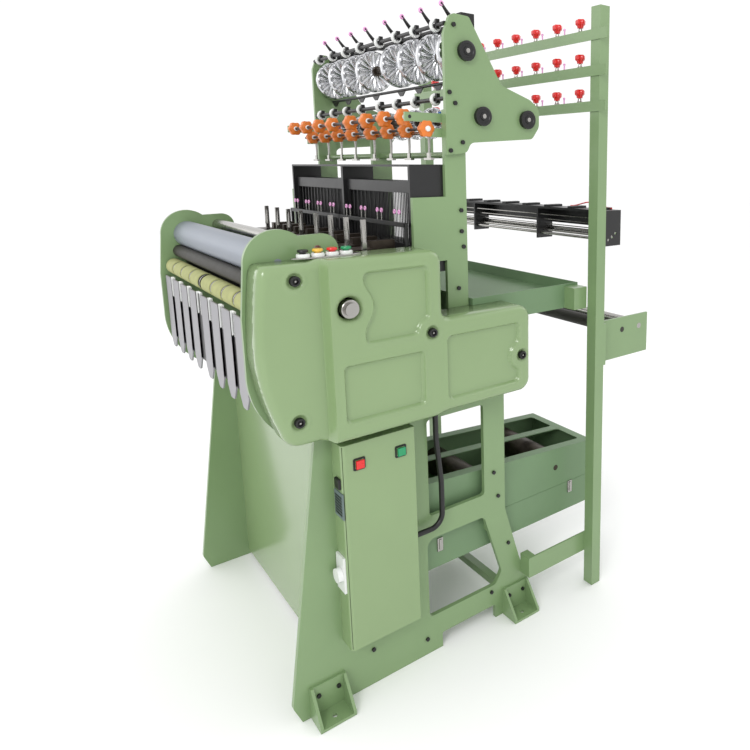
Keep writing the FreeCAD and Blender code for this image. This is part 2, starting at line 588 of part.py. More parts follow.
def conduit():
    """Black conduit from under the cover to the rear face of the control box."""
    x = v.frameHalf + v.conduitOut
    radius = v.conduitRadius
    course = [(v.conduitY, v.coverLow + 12), (v.conduitY, 700, 400), (v.conduitY + 14, 560, 300),
              (v.conduitY + 14, 425, 40), (v.boxRear, 425)]
    flat = [FreeCAD.Vector(x, p[0], p[1]) for p in course]
    edges = []
    here = flat[0]
    for i in range(1, len(flat) - 1):
        back = (flat[i - 1] - flat[i]).normalize()
        on = (flat[i + 1] - flat[i]).normalize()
        half = back.getAngle(on) / 2
        reach = course[i][2] / math.tan(half)
        start, end = flat[i] + back * reach, flat[i] + on * reach
        middle = flat[i] + (back + on).normalize() * (course[i][2] / math.sin(half) - course[i][2])
        edges.append(Part.LineSegment(here, start).toShape())
        edges.append(Part.Arc(start, middle, end).toShape())
        here = end
    edges.append(Part.LineSegment(here, flat[-1]).toShape())
    path = Part.Wire(edges)
    ring = Part.Wire([Part.makeCircle(radius, flat[0], FreeCAD.Vector(0, 0, 1))])
    item = doc.addObject("Part::Feature", "Conduit")
    item.Shape = path.makePipeShell([ring], True, False)
    node(item, "conduit")


def creel():
    posts, rails, knobs = [], [], []
    half = v.postWide / 2
    for side in (-1, 1):
        x = side * v.postX
        posts.append(block(x - half, x + half, "postY - postWide / 2", "postY + postWide / 2", 0,
                           "postHigh"))
    group(posts, "creel_posts")
    for row in range(3):
        top = f"railTop - {row} * railStep"
        face = block("-postX - 50", "postX + 50", "postY - postWide / 2 - 4", "postY - postWide / 2",
                     f"{top} - railDrop", top)
        shelf = block("-postX + 22", "postX - 22", "postY - postWide / 2 - 4", "postY + 16",
                      f"{top} - 4", top)
        rails.append(fused([face, shelf]))
        for k in range(v.knobCount):
            x = f"({k} - (knobCount - 1) / 2) * knobPitch"
            y = "postY - 2"
            knobs.append(fused([stud(8, x, y, top, f"{top} + 12"), stud(4, x, y, top, f"{top} + 30"),
                                stud(13, x, y, f"{top} + 30", f"{top} + 42")]))
    group(rails, "creel_rails")
    group(knobs, "creel_knobs")
    braces = []
    for side in (-1, 1):
        x0, x1 = sorted((side * (v.postX - half), side * (v.postX - half - 6)))
        arm = block(x0, x1, "rearY - 45", "postY + postWide / 2", 120, 190)
        post = block(*sorted((side * v.frameHalf, side * (v.postX - half))), "rearY - 45",
                     "rearY - 15", 120, 190)
        braces.append(fused([arm, post]))
    front, rear = v.trayFront, v.postY - half
    tray = block("-frameHalf + 2", "frameHalf - 2", front, rear, "trayTop - trayDeep", "trayTop")
    hollow = block("-frameHalf + 5", "frameHalf - 5", front + 3, rear - 3, "trayTop - 38",
                   "trayTop + 1")
    under = block("-frameHalf + 5", "frameHalf - 5", front + 3, rear - 3, "trayTop - trayDeep - 1",
                  "trayTop - 41")
    node(cut(tray, [hollow, under]), "warp_tray")
    brackets = []
    for side in (-1, 1):
        x0, x1 = sorted((side * (v.frameHalf - 2), side * (v.postX - half)))
        brackets.append(block(x0, x1, rear - 60, rear - 4, "trayTop - trayDeep", "trayTop - 8"))
    rear_brackets.extend(braces + brackets)


def stop_device():
    half = v.postWide / 2
    back = v.postY + half
    reach = v.postX + 20
    top = block(-reach, reach, back, back + 70, "stopTop - 8", "stopTop")
    rear_wall = block(-reach, reach, back + 64, back + 70, "stopTop - 60", "stopTop")
    courses = ((14, 20), (30, 30), (46, 40))
    plates = [block(x - 4, x + 4, back, back + 70, "stopLow", "stopTop")
              for x in (-reach + 4, -200, 200, reach - 4)]
    bores = [rod("5 + slideGap", -reach - 1, reach + 1, back + y, f"stopLow + {z}")
             for y, z in courses]
    node(cut(fused([top, rear_wall] + plates), bores), "stop_device_housing")
    rods = [rod(5, -reach + 2, reach - 2, back + y, f"stopLow + {z}") for y, z in courses]
    group(rods, "drop_wire_rods")


def rear_rollers():
    half = v.postWide / 2
    y0 = v.postY + half
    end = v.backRollerY + v.backRollerPitch + 44
    plates = []
    for side in (-1, 1):
        x0, x1 = sorted((side * (v.postX - half), side * (v.postX - half + 8)))
        plate = block(x0, x1, y0, end, "backRollerZ - 98", "backRollerZ + 44")
        lug = block(*sorted((side * (v.postX - half + 8), side * (v.postX + half))), y0, y0 + 10,
                    "backRollerZ - 98", "backRollerZ + 44")
        bores = [rod("journal + bearingFit", x0 - 1, x1 + 1, f"backRollerY + {k} * backRollerPitch",
                     "backRollerZ") for k in (0, 1)]
        plates.append(cut(fused([plate, lug]), bores))
    group(plates, "rear_roller_plates")
    for k, label in enumerate(("rear_roller_front", "rear_roller_back")):
        y = f"backRollerY + {k} * backRollerPitch"
        reach = v.postX - half
        node(fused([rod("backRollerRadius", -reach + 1, reach - 1, y, "backRollerZ"),
                    rod("journal", -reach - 8, reach + 8, y, "backRollerZ")]), label)


def floor_tub():
    """Sheet tub with a sloping rim flange, two long mouths and two drums across it."""
    wall = v.tubWall
    span = "tubRight - tubLeft"
    outer = padded("YZ_Plane", "tubLeft", span, [loop([
        (v.tubFront, v.tubLow), (v.tubRear, v.tubLow), (v.tubRear, v.tubRearHigh),
        (v.tubFront, v.tubHigh)])])
    inner = padded("YZ_Plane", "tubLeft + tubWall", f"{span} - 2 * tubWall", [loop([
        (v.tubFront + wall, v.tubLow + wall), (v.tubRear - wall, v.tubLow + wall),
        (v.tubRear - wall, v.tubRearHigh - wall), (v.tubFront + wall, v.tubHigh - wall)])])
    middle = (v.tubLeft + v.tubRight) / 2
    edge = v.tubFlange
    mouths = [padded("XY_Plane", v.tubRearHigh - 3 * wall, "tubHigh", [loop([
        (x0, v.tubFront + edge, 12), (x1, v.tubFront + edge, 12), (x1, v.tubRear - edge, 12),
        (x0, v.tubRear - edge, 12)])])
        for x0, x1 in ((v.tubLeft + edge, middle - edge / 2), (middle + edge / 2, v.tubRight - edge))]
    places = ("tubRollerFront", "tubRollerBack")
    bores = [rod("journal + bearingFit", x0, x1, y, "tubRollerZ")
             for y in places for x0, x1 in (("tubLeft - 1", "tubLeft + tubWall + 1"),
                                            ("tubRight - tubWall - 1", "tubRight + 1"))]
    node(cut(outer, [inner] + mouths + bores), "floor_tub")
    for label, y in zip(("tub_roller_front", "tub_roller_back"), places):
        drum = rod("tubRollerRadius", "tubLeft + tubWall + 1", "tubRight - tubWall - 1", y, "tubRollerZ")
        node(fused([drum, rod("journal", "tubLeft", "tubRight", y, "tubRollerZ")]), label)
    shelf = ("tubLow + 60", "tubLow + 130")
    rear_brackets.extend([
        block("tubRight", "frameHalf - frameThick", "legRear - 60", "legRear - 20", *shelf),
        block("tubRight - 40", "tubRight - 10", "windowFront - 30", "tubFront", "railLow + 10",
              "railHigh - 10"),
        block("tubLeft + 10", "tubLeft + 40", "windowFront - 30", "tubFront", "railLow + 10",
              "railHigh - 10"),
        block("tubLeft + 10", "tubLeft + 10 + tieSide", "legRear + 7", "legRear + 7 + tieSide",
              "48 + tieSide", "tubLow")])


def drive():
    wall = "frameHalf - frameThick"
    shaft = rod("mainRadius", f"-({wall})", "frameHalf + coverOut + 12", "mainY", "mainZ")
    pulley = rod("pulleyRadius", "frameHalf + 12", "frameHalf + 44", "mainY", "mainZ")
    node(fused([shaft, pulley]), "main_shaft")
    motor_x, motor_y, motor_z = v.motorX, v.motorY, v.motorZ
    body = rod("motorRadius", motor_x, motor_x + 190, motor_y, motor_z)
    foot = block(motor_x + 30, motor_x + 160, motor_y - 70, motor_y + 70, motor_z - 100, motor_z - 60)
    node(fused([body, foot]), "drive_motor")
    rotor = fused([rod(12, motor_x + 190.4, motor_x + 230, motor_y, motor_z),
                   rod(40, motor_x + 200, motor_x + 228, motor_y, motor_z)])
    node(rotor, "motor_pulley")


def bolts():
    """Socket-head screws on the outer faces, both sides of the machine."""
    face = v.frameHalf
    plate = innerHalf + v.plateThick
    spots = [(face + v.footThick, end * v.anchorPitch / 2 + dy, 62) for end in (-1, 1)
             for dy in (-28, 28)]
    spots += [(face, 245, 515), (face, 261, 430), (face, -186, 110), (face, -11, 52),
              (face, 230, 100), (face, 300, 250)]
    spots += [(plate, v.uprightY + 12, z) for z in (1668, 1512)]
    spots += [(plate, v.uprightY + 30, z) for z in (1640, 1845)]
    spots += [(plate, v.uprightY + 52, 1535)]
    for x, y, z in spots:
        for side in (-1, 1):
            caps_and_bolts.append(rod(6, *sorted((side * x, side * (x + 5))), y, z))
    for y, z in ((v.uprightY + 50, 1345), (v.uprightY + 50, 1285), (v.uprightY + 56, 1240),
                 (v.uprightY + 36, 1120)):
        for side in (-1, 1):
            caps_and_bolts.append(rod(6, *sorted((side * innerHalf, side * (innerHalf + 5))), y, z))
    group(caps_and_bolts, "caps_and_bolts")
    group(rear_brackets, "creel_brackets")


for build in (side_frames, feet, frame_parts, end_plates, take_up, weaving_heads, harness, uprights,
              overhead, cover, controls, conduit, creel, stop_device, rear_rollers, floor_tub, drive,
              bolts):
    build()
doc.recompute()

for item in doc.Objects:
    if "Invalid" in item.State or "Error" in item.State:
        raise RuntimeError(f"{item.Name} did not build: {item.State}")
for item in nodes:
    if item.Shape.isNull() or not item.Shape.isValid():
        raise RuntimeError(f"{item.Label} has a bad shape")
    item.Shape.exportStep(f"parts/{item.Label}.step")
print(len(nodes), "nodes")
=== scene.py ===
import bmesh
import bpy
import json
import math
import numpy as np
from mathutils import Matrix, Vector


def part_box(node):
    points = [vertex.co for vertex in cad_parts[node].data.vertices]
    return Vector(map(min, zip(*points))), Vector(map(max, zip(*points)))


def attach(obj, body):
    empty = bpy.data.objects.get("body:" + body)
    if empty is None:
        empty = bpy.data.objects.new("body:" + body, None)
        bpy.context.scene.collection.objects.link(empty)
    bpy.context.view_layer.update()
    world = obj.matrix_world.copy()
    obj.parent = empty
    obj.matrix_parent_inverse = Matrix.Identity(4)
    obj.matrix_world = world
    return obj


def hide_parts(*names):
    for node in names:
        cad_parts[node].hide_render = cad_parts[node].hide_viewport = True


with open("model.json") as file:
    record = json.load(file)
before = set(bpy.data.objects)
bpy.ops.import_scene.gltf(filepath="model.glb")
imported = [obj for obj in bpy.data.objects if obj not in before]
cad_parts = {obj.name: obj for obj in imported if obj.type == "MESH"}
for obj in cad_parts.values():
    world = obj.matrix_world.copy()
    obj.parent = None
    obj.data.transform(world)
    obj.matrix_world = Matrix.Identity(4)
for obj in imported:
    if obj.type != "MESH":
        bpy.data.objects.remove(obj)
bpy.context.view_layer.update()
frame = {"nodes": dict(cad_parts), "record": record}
nodes = frame["nodes"]
print("frame loaded")


sides = np.array([-1, -1, -1, -1, 1, 1, 1, 1])
steps = np.array([3, 2, 1, 0, 0, 1, 2, 3])
headX = sides * (0.0625 + 0.105 * steps)      # weaving heads and tongues
overX = sides * (0.068 + 0.110 * steps)        # overhead rings, fingers and levers
discX = sides * (0.088 + 0.110 * steps)        # feeder discs


def linear(r, g, b):
    c = np.array([r, g, b]) / 255
    return tuple(np.where(c <= 0.04045, c / 12.92, ((c + 0.055) / 1.055) ** 2.4)) + (1.0,)


def newGroup(name, inputs, outputs):
    group = bpy.data.node_groups.new(name, "ShaderNodeTree")
    for label, kind, value in inputs:
        group.interface.new_socket(label, in_out="INPUT", socket_type=kind).default_value = value
    for label, kind in outputs:
        group.interface.new_socket(label, in_out="OUTPUT", socket_type=kind)
    return group, group.nodes.new("NodeGroupInput"), group.nodes.new("NodeGroupOutput")


def addNode(tree, kind, links=None, **settings):
    made = tree.nodes.new(kind)
    for key, value in settings.items():
        if hasattr(made, key):
            setattr(made, key, value)
        else:
            made.inputs[key].default_value = value
    for key, source in (links or {}).items():
        tree.links.new(source, made.inputs[key])
    return made


def makeDrift():
    # slow colour drift over the surface, a fine sprayed texture and small dull patches
    group, ins, outs = newGroup("surfaceDrift", [
        ("Color", "NodeSocketColor", (0.5, 0.5, 0.5, 1)), ("Roughness", "NodeSocketFloat", 0.4),
        ("Scale", "NodeSocketFloat", 6.0), ("Spread", "NodeSocketFloat", 0.08),
        ("Fine", "NodeSocketFloat", 260.0)],
        [("Color", "NodeSocketColor"), ("Roughness", "NodeSocketFloat"), ("Height", "NodeSocketFloat")])
    place = addNode(group, "ShaderNodeTexCoord")
    slow = addNode(group, "ShaderNodeTexNoise", {"Vector": place.outputs["Object"],
                                                 "Scale": ins.outputs["Scale"]}, Detail=4.0)
    fine = addNode(group, "ShaderNodeTexNoise", {"Vector": place.outputs["Object"],
                                                 "Scale": ins.outputs["Fine"]}, Detail=2.0)
    swing = addNode(group, "ShaderNodeMath", {0: slow.outputs["Fac"]}, operation="SUBTRACT")
    swing.inputs[1].default_value = 0.5
    gain = addNode(group, "ShaderNodeMath", {0: swing.outputs[0], 1: ins.outputs["Spread"]},
                   operation="MULTIPLY")
    lift = addNode(group, "ShaderNodeMath", {0: gain.outputs[0]}, operation="MULTIPLY_ADD")
    lift.inputs[1].default_value = 4.0
    lift.inputs[2].default_value = 1.0
    shade = addNode(group, "ShaderNodeVectorMath", {0: ins.outputs["Color"]}, operation="SCALE")
    group.links.new(lift.outputs[0], shade.inputs["Scale"])
    dull = addNode(group, "ShaderNodeMath", {0: gain.outputs[0], 1: ins.outputs["Roughness"]},
                   operation="ADD")
    group.links.new(shade.outputs[0], outs.inputs["Color"])
    group.links.new(dull.outputs[0], outs.inputs["Roughness"])
    group.links.new(fine.outputs["Fac"], outs.inputs["Height"])
    return group


def makeLines():
    # fine turning or brushing marks: noise squeezed hard across one axis
    group, ins, outs = newGroup("toolMarks", [
        ("Color", "NodeSocketColor", (0.5, 0.5, 0.5, 1)), ("Roughness", "NodeSocketFloat", 0.3),
        ("Stretch", "NodeSocketVector", (900.0, 8.0, 8.0)), ("Spread", "NodeSocketFloat", 0.3)],
        [("Color", "NodeSocketColor"), ("Roughness", "NodeSocketFloat"), ("Height", "NodeSocketFloat")])
    place = addNode(group, "ShaderNodeTexCoord")
    squeeze = addNode(group, "ShaderNodeVectorMath", {0: place.outputs["Object"],
                                                      1: ins.outputs["Stretch"]}, operation="MULTIPLY")
    marks = addNode(group, "ShaderNodeTexNoise", {"Vector": squeeze.outputs[0]}, Scale=1.0, Detail=3.0)
    swing = addNode(group, "ShaderNodeMath", {0: marks.outputs["Fac"]}, operation="SUBTRACT")
    swing.inputs[1].default_value = 0.5
    gain = addNode(group, "ShaderNodeMath", {0: swing.outputs[0], 1: ins.outputs["Spread"]},
                   operation="MULTIPLY")
    lift = addNode(group, "ShaderNodeMath", {0: gain.outputs[0]}, operation="ADD")
    lift.inputs[1].default_value = 1.0
    shade = addNode(group, "ShaderNodeVectorMath", {0: ins.outputs["Color"]}, operation="SCALE")
    group.links.new(lift.outputs[0], shade.inputs["Scale"])
    dull = addNode(group, "ShaderNodeMath", {0: gain.outputs[0], 1: ins.outputs["Roughness"]},
                   operation="ADD")
    group.links.new(shade.outputs[0], outs.inputs["Color"])
    group.links.new(dull.outputs[0], outs.inputs["Roughness"])
    group.links.new(marks.outputs["Fac"], outs.inputs["Height"])
    return group


drift = makeDrift()
lines = makeLines()


def finishOf(name, color, rough=0.4, metal=0.0, coat=0.0, scale=6.0, spread=0.05, fine=260.0,
             bump=0.05, marks=None, distance=0.0006):
    made = bpy.data.materials.new(name)
    made.use_nodes = True
    tree = made.node_tree
    shader = tree.nodes["Principled BSDF"]
    source = addNode(tree, "ShaderNodeGroup", node_tree=lines if marks else drift)
    source.inputs["Color"].default_value = linear(*color)
    source.inputs["Roughness"].default_value = rough
    source.inputs["Spread"].default_value = spread
    if marks:
        source.inputs["Stretch"].default_value = marks
    else:
        source.inputs["Scale"].default_value = scale
        source.inputs["Fine"].default_value = fine
    relief = addNode(tree, "ShaderNodeBump", {"Height": source.outputs["Height"]}, Strength=bump,
                     Distance=distance)
    tree.links.new(source.outputs["Color"], shader.inputs["Base Color"])
    tree.links.new(source.outputs["Roughness"], shader.inputs["Roughness"])
    tree.links.new(relief.outputs["Normal"], shader.inputs["Normal"])
    shader.inputs["Metallic"].default_value = metal
    shader.inputs["Coat Weight"].default_value = coat
    shader.inputs["Coat Roughness"].default_value = 0.12
    return made


finishes = {
    "framePaint": finishOf("framePaint", (122, 148, 104), rough=0.34, coat=0.25, spread=0.035, bump=0.12),
    "coverPaint": finishOf("coverPaint", (128, 152, 106), rough=0.26, coat=0.5, spread=0.025, bump=0.05),
    "shadePaint": finishOf("shadePaint", (106, 134, 98), rough=0.45, spread=0.06, bump=0.15),
    "blackSteel": finishOf("blackSteel", (24, 24, 25), rough=0.36, spread=0.12, scale=30, bump=0.1),
    "blackMoulded": finishOf("blackMoulded", (16, 16, 17), rough=0.38, spread=0.1, scale=60, bump=0.12),
    "oiledSteel": finishOf("oiledSteel", (74, 66, 58), rough=0.38, metal=0.75, spread=0.35, scale=45,
                           bump=0.15),
    "groundSteel": finishOf("groundSteel", (168, 166, 162), rough=0.24, metal=1.0, spread=0.25,
                            marks=(500.0, 30.0, 30.0), bump=0.06),
    "paleAlloy": finishOf("paleAlloy", (206, 207, 210), rough=0.26, metal=1.0, spread=0.2,
                          marks=(1200.0, 20.0, 20.0), bump=0.08),
    "rollerGrey": finishOf("rollerGrey", (136, 142, 152), rough=0.42, metal=0.35, spread=0.22,
                           marks=(9.0, 160.0, 160.0), bump=0.1),
    "tongueGrey": finishOf("tongueGrey", (140, 139, 143), rough=0.4, spread=0.06, scale=14, bump=0.08),
    "oliveRubber": finishOf("oliveRubber", (160, 163, 108), rough=0.72, spread=0.12, scale=40,
                            fine=700.0, bump=0.35),
    "darkRubber": finishOf("darkRubber", (44, 42, 36), rough=0.6, spread=0.2, scale=30, fine=600.0,
                           bump=0.3),
    "orangePart": finishOf("orangePart", (216, 116, 36), rough=0.34, coat=0.2, spread=0.1, scale=50),
    "redPart": finishOf("redPart", (214, 26, 24), rough=0.28, coat=0.3, spread=0.06, scale=50),
    "whitePart": finishOf("whitePart", (226, 228, 226), rough=0.3, coat=0.3, spread=0.04, scale=40),
    "yellowPart": finishOf("yellowPart", (222, 178, 60), rough=0.32, coat=0.2, spread=0.06, scale=50),
    "greenPart": finishOf("greenPart", (16, 140, 88), rough=0.3, coat=0.2, spread=0.06, scale=50),
    "pinkGlaze": finishOf("pinkGlaze", (226, 158, 208), rough=0.18, coat=0.6, spread=0.05, scale=60),
    "bluePart": finishOf("bluePart", (54, 110, 178), rough=0.34, spread=0.06, scale=60),
    "motorGrey": finishOf("motorGrey", (98, 112, 112), rough=0.5, spread=0.1, scale=20, bump=0.2),
}

bySlot = {
    "green_paint": "framePaint", "cover_paint": "coverPaint", "dark_green_paint": "shadePaint",
    "black_steel": "blackSteel", "bright_steel": "groundSteel", "dark_steel": "oiledSteel",
    "alloy": "paleAlloy", "roller_grey": "rollerGrey", "tongue_grey": "tongueGrey",
    "olive_rubber": "oliveRubber", "dark_rubber": "darkRubber", "orange_plastic": "orangePart",
    "red_plastic": "redPart", "black_plastic": "blackMoulded", "white_plastic": "whitePart",
    "yellow_plastic": "yellowPart", "green_plastic": "greenPart", "ceramic_pink": "pinkGlaze",
    "cast_motor": "motorGrey",
}
slotOf = {part["node"]: part["material_slot"] for part in frame["record"]["subparts"]}
for label, item in nodes.items():
    item.data.materials.clear()
    item.data.materials.append(finishes[bySlot[slotOf[label]]])
nodes["front_panel"].data.materials[0] = finishes["coverPaint"]
nodes["control_box"].data.materials[0] = finishes["coverPaint"]
print("finishes on the frame's own nodes")


def gridFaces(rows, cols, wrap=False):
    # quads between neighbouring points of a rows by cols grid; wrap joins the last column to the first
    i, j = np.meshgrid(np.arange(rows - 1), np.arange(cols if wrap else cols - 1), indexing="ij")
    k = (j + 1) % cols
    return np.stack([i * cols + j, i * cols + k, (i + 1) * cols + k, (i + 1) * cols + j], -1).reshape(-1, 4)


def repeated(shape, offsets):
    verts, faces = shape
    offsets = np.asarray(offsets, float)
    many = (verts[None] + offsets[:, None]).reshape(-1, 3)
    shift = np.arange(len(offsets))[:, None, None] * len(verts)
    return many, (faces[None] + shift).reshape(-1, faces.shape[1])


def together(*shapes):
    verts, faces, count = [], [], 0
    for v, f in shapes:
        if f.shape[1] == 3:
            f = np.c_[f, f[:, 2]]
        verts.append(v)
        faces.append(f + count)
        count += len(v)
    return np.concatenate(verts), np.concatenate(faces)


def turned(profile, around=32, axis=0, lobes=0, lobeDepth=0.0):
    # a profile of (along, radius) turned about an axis; lobes swell the radius by a cosine
    along, radius = np.asarray(profile, float).T
    t = np.arange(around) * 2 * math.pi / around
    r = radius[:, None] * (1 + lobeDepth * np.cos(lobes * t)[None])
    shape = np.stack([np.broadcast_to(along[:, None], r.shape), r * np.cos(t), r * np.sin(t)], -1)
    return np.roll(shape, axis, -1).reshape(-1, 3), gridFaces(len(along), around, True)


def boxes(spans):
    # boxes from (x0, x1, y0, y1, z0, z1)
    s = np.asarray(spans, float).reshape(-1, 3, 2)
    pick = np.array([[0, 0, 0], [1, 0, 0], [1, 1, 0], [0, 1, 0], [0, 0, 1], [1, 0, 1], [1, 1, 1], [0, 1, 1]])
    verts = s[:, np.arange(3)[None], pick].reshape(-1, 3)
    quads = np.array([[0, 3, 2, 1], [4, 5, 6, 7], [0, 1, 5, 4], [1, 2, 6, 5], [2, 3, 7, 6], [3, 0, 4, 7]])
    return verts, (quads[None] + 8 * np.arange(len(s))[:, None, None]).reshape(-1, 4)


def rodAlong(points, radius, around=10):
    # a round section carried along a path, each ring square to the path
    p = np.asarray(points, float)
    r = np.broadcast_to(np.asarray(radius, float), len(p))
    tangent = np.gradient(p, axis=0)
    tangent /= np.linalg.norm(tangent, axis=1)[:, None]
    side = np.cross(tangent, np.where(abs(tangent[:, :1]) > 0.9, [[0, 0, 1]], [[1, 0, 0]]))
    side /= np.linalg.norm(side, axis=1)[:, None]
    other = np.cross(tangent, side)
    t = np.arange(around) * 2 * math.pi / around
    ring = side[:, None] * np.cos(t)[:, None] + other[:, None] * np.sin(t)[:, None]
    body = p[:, None] + ring * r[:, None, None]
    verts = np.concatenate([np.repeat(p[:1], around, 0), body.reshape(-1, 3), np.repeat(p[-1:], around, 0)])
    return verts, gridFaces(len(p) + 2, around, True)


def piece(name, shape, finish, body="frame", replaces=(), bevel=0.0, smooth=True):
    verts, faces = shape
    mesh = bpy.data.meshes.new(name)
    mesh.from_pydata(verts.tolist(), [], [list(dict.fromkeys(f)) for f in faces.tolist()])
    work = bmesh.new()
    work.from_mesh(mesh)
    bmesh.ops.remove_doubles(work, verts=work.verts, dist=1e-6)
    bmesh.ops.dissolve_degenerate(work, edges=work.edges, dist=1e-7)
    bmesh.ops.recalc_face_normals(work, faces=work.faces)
    work.to_mesh(mesh)
    work.free()
    item = bpy.data.objects.new(name, mesh)
    bpy.context.scene.collection.objects.link(item)
    mesh.materials.append(finishes[finish])
    if smooth:
        mesh.shade_smooth()
        mesh.set_sharp_from_angle(angle=math.radians(38))
    if bevel:
        edge = item.modifiers.new("edge", "BEVEL")
        edge.width = bevel
        edge.segments = 2
        edge.limit_method = "ANGLE"
    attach(item, body)
    if replaces:
        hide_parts(*replaces)
    return item


def ramp(x, low, high):
    t = np.clip((x - low) / (high - low), 0, 1)
    return t * t * (3 - 2 * t)


cover = {
    "front": -0.459, "step": -0.300, "mid": 0.016, "rear": 0.318, "low": 0.803, "high": 1.254,
    "ledge": 1.065, "face": 0.560, "noseFace": 0.530, "back": 0.460, "grid": 0.0035,
    "edgeRound": 0.018, "noseRound": 0.020, "panelDeep": 0.0095,
    "knobs": ((-0.363, 1.209), (-0.374, 0.866), (-0.019, 1.035), (0.284, 0.916)),
    "shaft": (-0.245, 1.131), "shaftHole": 0.025,
}


def boxDistance(y, z, y0, y1, z0, z1, r):
    # signed distance to a rectangle with rounded corners, negative inside
    qy = abs(y - (y0 + y1) / 2) - (y1 - y0) / 2 + r
    qz = abs(z - (z0 + z1) / 2) - (z1 - z0) / 2 + r
    return np.hypot(np.maximum(qy, 0), np.maximum(qz, 0)) + np.minimum(np.maximum(qy, qz), 0) - r


def discDistance(y, z, centre, r):
    return np.hypot(y - centre[0], z - centre[1]) - r


def softMax(a, b, k):
    # the larger of two distances with the corner between them rounded over k
    h = np.clip(0.5 + 0.5 * (a - b) / k, 0, 1)
    return b + (a - b) * h + k * h * (1 - h)


def softMin(a, b, k):
    return -softMax(-a, -b, k)


def coverOutline(y, z):
    # union of the tall part, the low rear part and the nose, which leans back at both ends, less a hole
    c = cover
    tall = boxDistance(y, z, c["step"] - 0.03, c["mid"], c["low"], c["high"], 0.034)
    long = boxDistance(y, z, c["step"] - 0.03, c["rear"], c["low"], c["ledge"], 0.038)
    nose = boxDistance(y, z, c["front"], c["step"] + 0.06, c["low"], c["high"] - 0.006, 0.030)
    lean = ((0.965 - z) * 0.36 - (y - c["front"])) / math.hypot(1, 0.36)
    nose = softMax(nose, lean, 0.030)
    back = ((z - 1.120) * 0.15 - (y - c["front"])) / math.hypot(1, 0.15)
    nose = softMax(nose, back, 0.020)
    joined = softMin(softMin(tall, long, 0.030), nose, 0.006)
    hole = -discDistance(y, z, c["shaft"], c["shaftHole"])
    return np.maximum(joined, hole)


def coverHeight(y, z, inside):
    # X of the face: rounded off near the outline, stepped at the nose, with panels and dishes let in
    c = cover
    nose = 1 - ramp(y, c["step"] - 0.004, c["step"] + 0.005)
    face = c["face"] + (c["noseFace"] - c["face"]) * nose
    r = c["edgeRound"] + (c["noseRound"] - c["edgeRound"]) * (1 - ramp(y, -0.440, -0.330))
    d = np.clip(inside, 0, r)
    x = face - r + np.sqrt(np.maximum(r * r - (r - d) ** 2, 0))
    upper = boxDistance(y, z, -0.207, -0.028, 1.038, 1.216, 0.014)
    upper = softMax(upper, -discDistance(y, z, c["shaft"], 0.062), 0.016)
    upper = softMax(upper, -discDistance(y, z, c["knobs"][2], 0.044), 0.010)
    lowerPanel = boxDistance(y, z, -0.268, -0.048, 0.845, 0.990, 0.012)
    rearPanel = boxDistance(y, z, 0.027, 0.272, 0.838, 1.017, 0.014)
    rearPanel = softMax(rearPanel, -discDistance(y, z, c["knobs"][3], 0.042), 0.012)
    for panel in (upper, lowerPanel, rearPanel):
        x = x - c["panelDeep"] * ramp(-panel, -0.002, 0.004) + 0.0016 * np.exp(-((panel - 0.005) / 0.004) ** 2)
    for knob in c["knobs"]:
        gap = discDistance(y, z, knob, 0.0)
        x = x - 0.0055 * (1 - ramp(gap, 0.014, 0.020)) + 0.0016 * np.exp(-((gap - 0.024) / 0.003) ** 2)
    gap = discDistance(y, z, c["shaft"], 0.0)
    return x - 0.004 * (1 - ramp(gap, 0.024, 0.032))


def sideCover():
    c = cover
    step = c["grid"]
    y = np.arange(c["front"] - step, c["rear"] + 1.5 * step, step)
    z = np.arange(c["low"] - step, c["high"] + 1.5 * step, step)
    y, z = [a.ravel() for a in np.meshgrid(y, z, indexing="ij")]
    rows = len(np.unique(y))
    for _ in range(2):                         # points just outside slide onto the outline
        d = coverOutline(y, z)
        e = 1e-4
        gy = (coverOutline(y + e, z) - coverOutline(y - e, z)) / (2 * e)
        gz = (coverOutline(y, z + e) - coverOutline(y, z - e)) / (2 * e)
        near = (d > 0) & (d < 1.45 * step)
        y = np.where(near, y - d * gy, y)
        z = np.where(near, z - d * gz, z)
    d = coverOutline(y, z)
    keep = d < 0.25 * step
    verts = np.c_[coverHeight(y, z, -d), y, z]
    faces = gridFaces(rows, len(y) // rows)
    faces = faces[keep[faces].all(1)]
    used = np.unique(faces)
    index = np.zeros(len(verts), int)
    index[used] = np.arange(len(used))
    verts, faces = verts[used], index[faces]
    # a skirt runs from the open edge back to the frame
    edges = np.sort(faces[:, [0, 1, 1, 2, 2, 3, 3, 0]].reshape(-1, 2), 1)
    pairs, count = np.unique(edges, axis=0, return_counts=True)
    rim = pairs[count == 1]
    ring = np.unique(rim)
    back = verts[ring].copy()
    back[:, 0] = np.where(back[:, 2] > 1.02, c["back"] - 0.0135, c["back"] + 0.0005)
    hole = np.hypot(back[:, 1] - c["shaft"][0], back[:, 2] - c["shaft"][1]) < 0.04
    back[hole, 0] = c["face"] - 0.030
    at = np.zeros(len(verts), int)
    at[ring] = len(verts) + np.arange(len(ring))
    wall = np.c_[rim, at[rim[:, ::-1]]]
    skin = piece("sideCoverSkin", (np.concatenate([verts, back]), np.concatenate([faces, wall])),
                 "coverPaint", replaces=("side_cover",))
    shell = skin.modifiers.new("wall", "SOLIDIFY")
    shell.thickness = 0.003
    shell.offset = -1
    return skin


